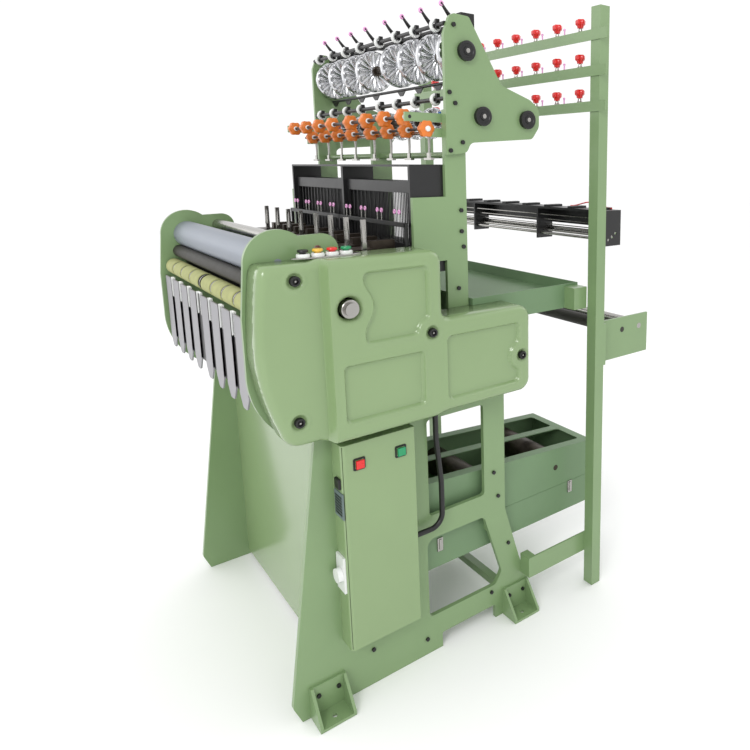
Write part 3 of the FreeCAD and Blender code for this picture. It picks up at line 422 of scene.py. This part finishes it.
def coverKnobs():
    # a socket-head knob: rim, sloped well and a small raised centre, turned about X
    profile = [(-0.006, 0), (-0.006, 0.0125), (0.003, 0.0125), (0.0052, 0.0115), (0.006, 0.0095),
               (0.0052, 0.0075), (0.0005, 0.0060), (0.0005, 0.0040), (0.0022, 0.0032), (0.0026, 0)]
    knob = turned(profile, 36)
    spots = [(coverFace(y), y, z) for y, z in cover["knobs"]]
    piece("coverKnobSet", repeated(knob, spots), "blackMoulded",
          replaces=("cover_knobs",))
    stem = turned([(0.0, 0), (0.0, 0.0022), (0.0034, 0.0022), (0.0038, 0)], 14)
    piece("coverKnobPins", repeated(stem, [(x + 0.0015, y, z) for x, y, z in spots]), "groundSteel")


def coverFace(y):
    return cover["noseFace"] if y < cover["step"] else cover["face"]


def shaftHub():
    # bright hub that fills the cover's hole round the shaft, with a dark ring let into it
    y, z = cover["shaft"]
    hub = turned([(-0.030, 0), (-0.030, 0.0232), (0.0005, 0.0232), (0.0020, 0.0217), (0.0020, 0.0165),
                  (-0.0020, 0.0155), (-0.0020, 0)], 48)
    piece("shaftHub", repeated(hub, [(cover["face"], y, z)]), "groundSteel", "main")


sideCover()
coverKnobs()
shaftHub()
print("side cover")


buttons = {"ys": (-0.324, -0.288, -0.252, -0.216), "plateHalf": (0.0199, 0.0888)}


def topButtons():
    # plate, collars and caps are profiles turned about Z; the plate is stretched to a long oval
    low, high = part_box("button_plate")
    centreX, ys = (low[0] + high[0]) / 2, buttons["ys"]
    halfX, halfY = buttons["plateHalf"]
    top = cover["high"]
    plate = turned([(0, 0), (0, 1), (0.0022, 1), (0.0028, 0.985), (0.0028, 0)], 64, axis=2)
    verts = plate[0] * [halfX, halfY, 1] + [centreX, (low[1] + high[1]) / 2, top]
    piece("buttonPlatePressed", (verts, plate[1]), "groundSteel",
          replaces=("button_plate",))
    collar = turned([(0.0028, 0.0085), (0.0028, 0.0158), (0.007, 0.0165), (0.011, 0.0150),
                     (0.0115, 0.0128), (0.0112, 0.0085)], 32, axis=2)
    piece("buttonCollars", repeated(collar, [(centreX, y, top) for y in ys]), "whitePart")
    cap = [(0.0063, 0), (0.0063, 0.0078), (0.0150, 0.0078), (0.0152, 0.0128), (0.0190, 0.0128),
           (0.0206, 0.0118), (0.0212, 0.0098), (0.0208, 0)]
    for label, finish, y in zip(("black", "yellow", "red", "green"),
                                ("blackMoulded", "yellowPart", "redPart", "greenPart"), ys):
        piece("capButton" + label.title(), repeated(turned(cap, 32, axis=2), [(centreX, y, top)]),
              finish, "push_" + label, ("button_" + label,))


topButtons()
print("buttons")


def eyeletRail():
    # a black rail on posts carries pairs of glazed eyelets on bright stalks
    low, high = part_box("eyelet_rail")
    y = high[1] - 0.005
    top = high[2] - 0.036
    rail = [(low[0], high[0], y - 0.005, y + 0.005, top - 0.012, top),
            (low[0], high[0], low[1] + 0.0005, high[1], low[2] + 0.0005, low[2] + 0.006)]
    rail += [(a - 0.004, a + 0.004, y - 0.005, y + 0.005, low[2] + 0.003, top)
             for a in (low[0] + 0.005, 0.0, high[0] - 0.005)]
    piece("eyeletRailBar", boxes(rail), "blackSteel", replaces=("eyelet_rail",),
          bevel=0.0008)
    t = np.linspace(0, 2 * math.pi, 14, endpoint=False)
    section = np.stack([0.0024 * np.cos(t), 0.0048 + 0.0024 * np.sin(t)], -1)
    eye = turned(np.concatenate([section, section[:1]]), 20, axis=1)
    stalk = turned([(top - 0.001, 0), (top - 0.001, 0.0016), (high[2] - 0.014, 0.0016),
                    (high[2] - 0.014, 0)], 12, axis=2)
    xs = np.concatenate([headX - 0.013, headX + 0.013])
    piece("railEyelets", repeated(eye, [(x, y, high[2] - 0.0075) for x in xs]), "pinkGlaze")
    piece("eyeletStalks", repeated(stalk, [(x, y, 0) for x in xs]), "groundSteel")


def headDetails():
    # clamp screws, spring coils and red and blue thread guides on each weaving head
    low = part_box("weaving_heads")[0]
    y, top = low[1] + 0.040, low[2] + 0.034
    screw = turned([(0, 0), (0, 0.0048), (0.0045, 0.0048), (0.005, 0.0042), (0.005, 0)], 18, axis=2)
    spots = [(x + dx, y + dy, top) for x in headX for dx in (-0.026, 0.026) for dy in (0.0, 0.028, 0.056)]
    piece("headScrews", repeated(screw, spots), "groundSteel")
    t = np.linspace(0, 1, 90)
    coil = rodAlong(np.c_[0.0042 * np.cos(14 * math.pi * t), 0.045 * t, 0.0042 * np.sin(14 * math.pi * t)],
                    0.0009, 6)
    piece("headSprings", repeated(coil, [(x - 0.016, y + 0.004, top + 0.0045) for x in headX]),
          "paleAlloy")
    post = turned([(0, 0), (0, 0.0034), (0.014, 0.0034), (0.017, 0.0052), (0.021, 0.0052), (0.022, 0)],
                  18, axis=2)
    piece("headPosts", repeated(post, [(x + 0.016, y + 0.012, top) for x in headX]), "redPart")
    piece("headGuides", repeated(post, [(x + 0.016, y + 0.046, top) for x in headX]), "blackMoulded")


needleArm = {"offset": 0.040, "length": 0.060, "root": 0.0078, "taper": 0.0042}


def needleTips():
    # a bright tapered arm rises from each needle lever to a rounded tip
    low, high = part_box("needle_levers")
    y = (low[1] + high[1]) / 2
    s = np.linspace(0, 1, 12)
    arm = rodAlong(np.c_[0 * s, y + 0 * s, high[2] - needleArm["length"] + 0.0595 * s],
                   needleArm["root"] - needleArm["taper"] * s, 12)
    piece("needleArms", repeated(arm, [(x + needleArm["offset"], 0, 0) for x in headX]), "groundSteel",
          "needles")


def guideRoller():
    # eight rubber sleeves on one shaft with a black and a bright ring between them
    low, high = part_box("guide_roller")
    y, z = (low[1] + high[1]) / 2, (low[2] + high[2]) / 2
    sleeve = turned([(-0.0435, 0), (-0.0435, 0.0232), (-0.0415, 0.0250), (0.0415, 0.0250),
                     (0.0435, 0.0232), (0.0435, 0)], 40)
    piece("guideSleeves", repeated(sleeve, [(x, y, z) for x in headX]), "oliveRubber",
          "guide", ("guide_roller",))
    ring = turned([(-0.003, 0), (-0.003, 0.0225), (0.003, 0.0225), (0.003, 0)], 36)
    piece("guideRings", repeated(ring, [(x + s * 0.0470, y, z) for x in headX for s in (-1, 1)]),
          "blackMoulded", "guide")
    shaft = turned([(low[0], 0), (low[0], 0.010), (high[0], 0.010), (high[0], 0)], 24)
    bush = turned([(-0.0022, 0), (-0.0022, 0.0232), (0.0022, 0.0232), (0.0022, 0)], 36)
    piece("guideShaft", together(repeated(shaft, [(0, y, z)]),
                                 repeated(bush, [(x, y, z) for x in (headX[:-1] + headX[1:]) / 2])),
          "groundSteel", "guide")


def chutes():
    # small white folded chutes that stand in the slots between the tongues
    low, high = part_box("take_off_tongues")
    x = (headX[:-1] + headX[1:]) / 2
    half = np.where(abs(x) < 0.02, 0.020, 0.0125)
    spans = [(a + s * (h - 0.003), a + s * h, low[1] + 0.0005, high[1] + 0.004, high[2] - 0.060,
              high[2] + 0.004) for a, h in zip(x, half) for s in (-1, 1)]
    spans += [(a - h, a + h, high[1] + 0.001, high[1] + 0.004, high[2] - 0.060, high[2] + 0.004)
              for a, h in zip(x, half)]
    piece("slotChutes", boxes(spans), "whitePart", bevel=0.0008)
    # thin black strips in the gap beside each tongue are painted shadow: they stand for the dark, shaded
    # inside of the slots
    edge = [(a + s * 0.0362 - 0.0008, a + s * 0.0362 + 0.0008, low[1] - 0.0002, low[1] + 0.004,
             low[2] + 0.040, high[2]) for a in headX for s in (-1, 1)]
    piece("tongueSlotShadowStrips", boxes(edge), "blackMoulded")


eyeletRail()
headDetails()
needleTips()
guideRoller()
chutes()
print("take-up end")


feeder = {"radius": 0.066, "thick": 0.030, "flutes": 16, "deep": 0.0024}


def flutedDisc(radius, thick):
    # two dished faces joined at a plain rim; the flutes are a cosine that fades at hub and rim
    f = feeder
    half = thick / 2
    stops = np.array([0.0, 0.10, 0.20, 0.24, 0.34, 0.55, 0.78, 0.90, 0.97, 1.0])
    dish = np.array([0.95, 1.00, 0.95, 0.55, 0.52, 0.62, 0.78, 0.88, 0.72, 0.45])
    fade = np.array([0, 0, 0, 0.2, 1, 1, 1, 0.7, 0.3, 0.2])
    around = f["flutes"] * 8
    t = np.arange(around) * 2 * math.pi / around
    wave = np.cos(f["flutes"] * t)
    r = radius * stops[:, None] * (1 - 0.004 * (1 - wave) * (stops[:, None] > 0.95))
    x = half * dish[:, None] - f["deep"] * fade[:, None] * (1 - wave)
    front = np.stack([x, r * np.cos(t), r * np.sin(t)], -1)
    back = front[::-1] * [-1, 1, 1]
    return np.concatenate([front, back]).reshape(-1, 3), gridFaces(2 * len(stops), around, True)


def feederShafts():
    for label, body, scale in (("feeder_shaft_upper", "feeder_upper", 1.0),
                               ("feeder_shaft_middle", "feeder_middle", 0.62),
                               ("feeder_shaft_rear", "feeder_rear", 0.62)):
        low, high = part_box(label)
        y, z = (low[1] + high[1]) / 2, (low[2] + high[2]) / 2
        name = body.title().replace("_", "")
        disc = flutedDisc(feeder["radius"] * scale, feeder["thick"])
        piece("discSet" + name, repeated(disc, [(x, y, z) for x in discX]), "paleAlloy",
              body, (label,))
        shaft = turned([(low[0], 0), (low[0], 0.009), (high[0], 0.009), (high[0], 0)], 24)
        collar = turned([(-0.005, 0), (-0.005, 0.016), (0.005, 0.016), (0.005, 0)], 24)
        piece("shaft" + name, together(repeated(shaft, [(0, y, z)]),
                                       repeated(collar, [(x + 0.022, y, z) for x in discX])),
              "oiledSteel", body)


rearRow = {"x": 0.030, "y": 0.052, "z": -0.030}      # second row of wheels, from the first


def pressureWheels():
    # lobed orange wheels on white hubs, in two staggered rows
    low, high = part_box("pressure_wheels")
    y, z = (low[1] + high[1]) / 2, (low[2] + high[2]) / 2
    wheel = turned([(-0.009, 0), (-0.009, 0.018), (-0.006, 0.0222), (0.006, 0.0222), (0.009, 0.018),
                    (0.009, 0)], 60, lobes=6, lobeDepth=0.07)
    hub = turned([(-0.013, 0), (-0.013, 0.0075), (0.013, 0.0075), (0.014, 0.006), (0.014, 0)], 24)
    piece("orangeWheels", repeated(wheel, [(x, y, z) for x in overX]), "orangePart",
          "wheels", ("pressure_wheels",))
    piece("wheelHubs", repeated(hub, [(x, y, z) for x in overX]), "whitePart",
          "wheels")
    axle = turned([(low[0], 0), (low[0], 0.005), (high[0], 0.005), (high[0], 0)], 18)
    piece("wheelAxle", repeated(axle, [(0, y, z)]), "blackSteel", "wheels")
    second = [(x + rearRow["x"], y + rearRow["y"], z + rearRow["z"]) for x in overX]
    piece("rearWheels", repeated(wheel, second), "orangePart")
    piece("rearWheelHubs", repeated(hub, second), "whitePart")
    rear = turned([(low[0], 0), (low[0], 0.004), (high[0], 0.004), (high[0], 0)], 18)
    piece("rearWheelAxle", repeated(rear, [(0, y + rearRow["y"], z + rearRow["z"])]), "blackSteel")


rings = {"rows": ((0.113, 1.848), (0.108, 1.652)), "rod": 0.006, "bore": 0.0125, "wall": 0.0056,
         "deep": 0.0050}


def ringRails():
    # porcelain rings held in clips on two black rods
    low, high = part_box("ring_rails")
    t = np.linspace(0, 2 * math.pi, 24, endpoint=False)
    section = np.stack([rings["wall"] * np.cos(t), rings["bore"] + rings["deep"] * np.sin(t)], -1)
    ring = turned(np.concatenate([section, section[:1]]), 28)
    clip = boxes([(-0.004, 0.004, -0.006, 0.006, -0.004, 0.022)])
    rod = turned([(low[0], 0), (low[0], rings["rod"]), (high[0], rings["rod"]), (high[0], 0)], 18)
    rods, rows, clips = [], [], []
    for y, z in rings["rows"]:
        rods.append(repeated(rod, [(0, y, z)]))
        rows.append(repeated(ring, [(x, y, z) for x in overX]))
        clips.append(repeated(clip, [(x + 0.012, y, z - 0.006) for x in overX]))
    piece("ringRods", together(*rods), "blackSteel", replaces=("ring_rails",))
    piece("porcelainRings", together(*rows), "whitePart")
    piece("ringClips", together(*clips), "blackMoulded", bevel=0.001)


fingers = {"y": 0.190, "z": 1.860, "back": 0.056, "rise": 0.052, "sag": 0.006, "root": 0.0088,
           "taper": 0.0056, "rod": 0.007, "endX": 0.430}


def fingerBar():
    # tapered black fingers on the top rod, a pink eyelet at each tip
    low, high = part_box("finger_bar")
    f = fingers
    y, z = f["y"], f["z"]
    s = np.linspace(0, 1, 9)
    path = np.c_[0 * s, y - f["back"] * s, z + f["rise"] * s - f["sag"] * np.sin(math.pi * s)]
    finger = rodAlong(path, f["root"] - f["taper"] * s, 10)
    root = boxes([(-0.009, 0.009, y - 0.013, y + 0.011, z - 0.011, z + 0.011)])
    rod = turned([(low[0], 0), (low[0], f["rod"]), (high[0], f["rod"]), (high[0], 0)], 20)
    ends = boxes([(s * f["endX"] - 0.014, s * f["endX"] + 0.014, y - 0.022, y + 0.022, z - 0.020, z + 0.024)
                  for s in (-1, 1)])
    piece("topFingers", together(repeated(finger, [(x, 0, 0) for x in overX]),
                                 repeated(root, [(x, 0, 0) for x in overX]),
                                 repeated(rod, [(0, y, z)]), ends),
          "blackMoulded", replaces=("finger_bar",))
    t = np.linspace(0, 2 * math.pi, 14, endpoint=False)
    section = np.stack([0.0030 * np.cos(t), 0.0050 + 0.0030 * np.sin(t)], -1)
    eye = turned(np.concatenate([section, section[:1]]), 20)
    piece("topEyelets", repeated(eye, [(x, path[-1, 1] + 0.001, high[2] - 0.0085) for x in overX]),
          "pinkGlaze")


def stopLevers():
    # bright levers hanging from their rod to a wide foot
    low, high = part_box("feeder_levers")
    y = (low[1] + high[1]) / 2
    z = high[2] - 0.005
    s = np.linspace(0, 1, 10)
    path = np.c_[0.015 + 0 * s, y + 0.002 * np.sin(math.pi * s), z - 0.066 * s]
    arm = rodAlong(path, 0.0042 - 0.0012 * s, 10)
    foot = boxes([(-0.004, 0.034, y - 0.0055, y + 0.0055, low[2] + 0.0002, low[2] + 0.0062),
                  (0.008, 0.022, y - 0.0025, y + 0.0025, low[2] + 0.006, low[2] + 0.020)])
    hub = repeated(turned([(-0.007, 0), (-0.007, 0.0095), (0.007, 0.0095), (0.007, 0)], 20),
                   [(0.015, y, z)])
    rod = repeated(turned([(low[0], 0), (low[0], 0.005), (high[0], 0.005), (high[0], 0)], 16),
                   [(0, y, z)])
    one = together(arm, foot, hub)
    piece("stopLevers", together(repeated(one, [(x, 0, 0) for x in overX]), rod), "groundSteel",
          "levers", ("feeder_levers",))


feederShafts()
pressureWheels()
ringRails()
fingerBar()
stopLevers()
print("overhead feeders")


def feederPlates():
    # black keepers under the discs: a bar with a downward triangle at each disc
    low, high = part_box("feeder_shaft_upper")
    y, z = (low[1] + high[1]) / 2 + 0.004, low[2] - 0.010
    wall = 0.430
    outline = np.array([[-0.034, 0.006], [0.034, 0.006], [0.008, -0.016], [-0.008, -0.016]])
    front = np.c_[outline[:, 0], np.full(4, -0.0015), outline[:, 1]]
    faces = np.array([[0, 1, 2, 3], [4, 7, 6, 5], [0, 4, 5, 1], [1, 5, 6, 2], [2, 6, 7, 3], [3, 7, 4, 0]])
    plate = (np.concatenate([front, front + [0, 0.003, 0]]), faces)
    bar = turned([(-wall, 0), (-wall, 0.0045), (wall, 0.0045), (wall, 0)], 16)
    piece("discKeepers", together(repeated(plate, [(x, y, z) for x in discX]),
                                  repeated(bar, [(0, y, z + 0.002)])), "blackSteel")


def boxFittings():
    # dark bezels round the two press buttons, a door handle and a grey louvre on the front face
    low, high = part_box("control_box")
    spans = []
    for label in ("start_button", "stop_button"):
        a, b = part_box(label)
        y, z, r = (a[1] + b[1]) / 2, (a[2] + b[2]) / 2, 0.0145
        spans += [(high[0] - 0.0005, high[0] + 0.0022, y - r, y + r, z + s * r - 0.0022, z + s * r + 0.0022)
                  for s in (-1, 1)]
        spans += [(high[0] - 0.0005, high[0] + 0.0022, y + s * r - 0.0022, y + s * r + 0.0022, z - r, z + r)
                  for s in (-1, 1)]
    piece("buttonBezels", boxes(spans), "blackMoulded", bevel=0.0006)
    x = (low[0] + high[0]) / 2
    piece("louvrePlate", boxes([(x - 0.022, x + 0.030, low[1] - 0.003, low[1] + 0.001, 0.570, 0.642)]),
          "motorGrey", bevel=0.0008)
    piece("louvreSlots", boxes([(x - 0.016, x + 0.024, low[1] - 0.0042, low[1] - 0.0025, z, z + 0.0035)
                                for z in np.arange(0.580, 0.634, 0.008)]), "blackMoulded")
    piece("doorLatch", boxes([(x - 0.008, x + 0.020, low[1] - 0.007, low[1] + 0.001, 0.652, 0.680)]),
          "blackMoulded", bevel=0.0015)


latches = ((0.606, 0.334), (0.063, 0.323))          # (y, z) on the tub's right wall


def tubLatches():
    # two draw latches on the right wall and a seam along the tub
    low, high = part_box("floor_tub")
    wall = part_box("tub_roller_back")[1][0]
    for y, z in latches:
        piece("tubLatch%d" % round(y * 1000), boxes([
            (wall - 0.001, wall + 0.004, y - 0.010, y + 0.010, z - 0.022, z + 0.022),
            (wall + 0.003, wall + 0.0065, y - 0.004, y + 0.004, z - 0.016, z + 0.018)]), "groundSteel",
            bevel=0.0008)
    piece("tubSeam", boxes([(wall - 0.001, wall + 0.0012, low[1] + 0.004, high[1] - 0.004, 0.352, 0.3545)]),
          "shadePaint")


def bearingCaps():
    # ringed covers with a bright shaft end on the outside of the overhead plates
    cap = turned([(0, 0), (0, 0.0270), (0.0035, 0.0270), (0.0045, 0.0255), (0.0045, 0.0195),
                  (0.0030, 0.0180), (0.0030, 0.0125), (0.0050, 0.0115), (0.0050, 0)], 40)
    end = turned([(0.004, 0), (0.004, 0.0062), (0.0062, 0.0062), (0.0066, 0.0054), (0.0066, 0)], 24)
    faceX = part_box("feeder_shaft_upper")[1][0] + 0.0055
    spots = []
    for label in ("feeder_shaft_upper", "feeder_shaft_middle", "feeder_shaft_rear"):
        a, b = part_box(label)
        spots.append(((a[1] + b[1]) / 2, (a[2] + b[2]) / 2))
    for side, name in ((1, "Right"), (-1, "Left")):
        flip = np.array([side, 1, 1])
        for shape, finish, slotName, kind in ((cap, "blackMoulded", "black_plastic", "bearingCap"),
                                              (end, "groundSteel", "bright_steel", "capCentre")):
            moved = (shape[0] * flip, shape[1])
            piece(kind + name, repeated(moved, [(side * faceX, y, z) for y, z in spots]),
                  finish)


def stopDevice():
    # bright cross bars behind the row, a green brace at the right end and a red cord clipped along it
    low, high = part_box("stop_device_housing")
    wide, back, top = high[0], high[1], high[2]
    spans = [(low[0] + 0.004, wide - 0.004, low[1] + 0.006 + 0.012 * k, low[1] + 0.009 + 0.012 * k,
              top - 0.030 - 0.018 * k, top - 0.027 - 0.018 * k) for k in range(4)]
    piece("dropBars", boxes(spans), "groundSteel")
    blocks = [(x - 0.012, x + 0.012, low[1] + 0.001, back - 0.001, top - 0.001, top + 0.007)
              for x in np.linspace(low[0] + 0.05, wide - 0.05, 9)]
    piece("dropBlocks", boxes(blocks), "blackMoulded", bevel=0.001)
    s = np.linspace(0, 1, 40)
    cord = np.c_[wide - 0.03 - 0.20 * s, back - 0.012 + 0 * s, top + 0.004 + 0.016 * np.sin(math.pi * s) ** 2]
    piece("stopCord", rodAlong(cord, 0.0022, 8), "redPart")
    brace = np.array([[wide - 0.006, low[1] + 0.010, top - 0.110], [wide - 0.006, back - 0.004, top - 0.060]])
    piece("stopBrace", rodAlong(brace, 0.0055, 4), "framePaint", smooth=False)


def threadRuns():
    # red leads follow half a sine below blue plugs, one at each disc of the middle shaft
    low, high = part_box("feeder_shaft_middle")
    y, z = (low[1] + high[1]) / 2 - 0.044, (low[2] + high[2]) / 2
    s = np.linspace(0, 1, 24)
    leads = []
    for x in discX:
        leads.append(rodAlong(np.c_[x + 0.020 * s, y + 0 * s, z + 0.010 - 0.030 * np.sin(math.pi * s)],
                              0.0014, 6))
    piece("redLeads", together(*leads), "redPart")
    plugs = boxes([(x - 0.006, x + 0.006, y - 0.004, y + 0.004, z + 0.008, z + 0.020) for x in discX])
    piece("leadPlugs", plugs, "bluePart", bevel=0.0008)


creel = {"rails": (1.883, 1.776, 1.669), "knobs": 9, "pitch": 0.110, "knobY": 0.624, "pinY": 0.606}


def creelKnobs():
    # a five-lobed red knob on a red stem and a grey clamp foot
    x = (np.arange(creel["knobs"]) - creel["knobs"] // 2) * creel["pitch"]
    spots = [(a, creel["knobY"], z) for z in creel["rails"] for a in x]
    head = turned([(0.015, 0), (0.015, 0.0085), (0.022, 0.0095), (0.027, 0.0145), (0.038, 0.0150),
                   (0.0415, 0.0120), (0.0418, 0)], 40, axis=2, lobes=5, lobeDepth=0.14)
    stem = turned([(0.012, 0), (0.012, 0.0042), (0.030, 0.0042), (0.030, 0)], 14, axis=2)
    piece("starKnobs", repeated(together(head, stem), spots), "redPart",
          replaces=("creel_knobs",))
    foot = turned([(0.0, 0), (0.0, 0.0092), (0.0045, 0.0092), (0.006, 0.0070), (0.0125, 0.0062),
                   (0.0135, 0.0050), (0.0135, 0)], 20, axis=2)
    piece("knobFeet", repeated(foot, spots), "groundSteel")
    pin = turned([(0, 0), (0, 0.0025), (0.012, 0.0025), (0.017, 0.0045), (0.020, 0.0030), (0.020, 0)],
                 14, axis=2)
    between = [(a + creel["pitch"] / 2, creel["pinY"], z) for z in creel["rails"] for a in x[:-1]]
    piece("railGuidePins", repeated(pin, between), "pinkGlaze")


bearingCaps()
stopDevice()
threadRuns()
feederPlates()
boxFittings()
tubLatches()
creelKnobs()
print("creel")


def studio():
    size = 30
    floor = bpy.data.meshes.new("floor")
    floor.from_pydata([(-size, -size, -0.001), (size, -size, -0.001), (size, size, -0.001),
                       (-size, size, -0.001)], [], [(0, 1, 2, 3)])
    ground = bpy.data.objects.new("floor", floor)
    bpy.context.scene.collection.objects.link(ground)
    pale = bpy.data.materials.new("paleFloor")
    pale.use_nodes = True
    shader = pale.node_tree.nodes["Principled BSDF"]
    shader.inputs["Base Color"].default_value = (0.96, 0.96, 0.96, 1)
    shader.inputs["Roughness"].default_value = 0.9
    floor.materials.append(pale)
    world = bpy.data.worlds.new("studio")
    world.use_nodes = True
    world.node_tree.nodes["Background"].inputs["Color"].default_value = (1, 1, 1, 1)
    world.node_tree.nodes["Background"].inputs["Strength"].default_value = 1.06
    bpy.context.scene.world = world
    for label, place, power, spread in (("key", (3.2, -3.4, 3.6), 85, 1.6),
                                        ("fill", (-3.5, -2.5, 2.6), 25, 3.0),
                                        ("rim", (1.0, 4.0, 3.8), 30, 3.0)):
        light = bpy.data.lights.new(label, "AREA")
        light.energy = power
        light.size = spread
        lamp = bpy.data.objects.new(label, light)
        lamp.location = place
        lamp.rotation_euler = (Vector((0, 0, 1.0)) - Vector(place)).to_track_quat("-Z", "Y").to_euler()
        bpy.context.scene.collection.objects.link(lamp)
    lens = bpy.data.cameras.new("camera")
    lens.lens = 31.53
    lens.shift_x = -0.22
    lens.shift_y = -0.12
    eye = bpy.data.objects.new("camera", lens)
    eye.location = (2.033, -0.897, 1.476)
    eye.rotation_euler = (math.radians(90 - 10.46), 0, math.radians(49.67))
    bpy.context.scene.collection.objects.link(eye)
    bpy.context.scene.camera = eye
    bpy.context.scene.view_settings.view_transform = "Standard"


studio()
print("studio")
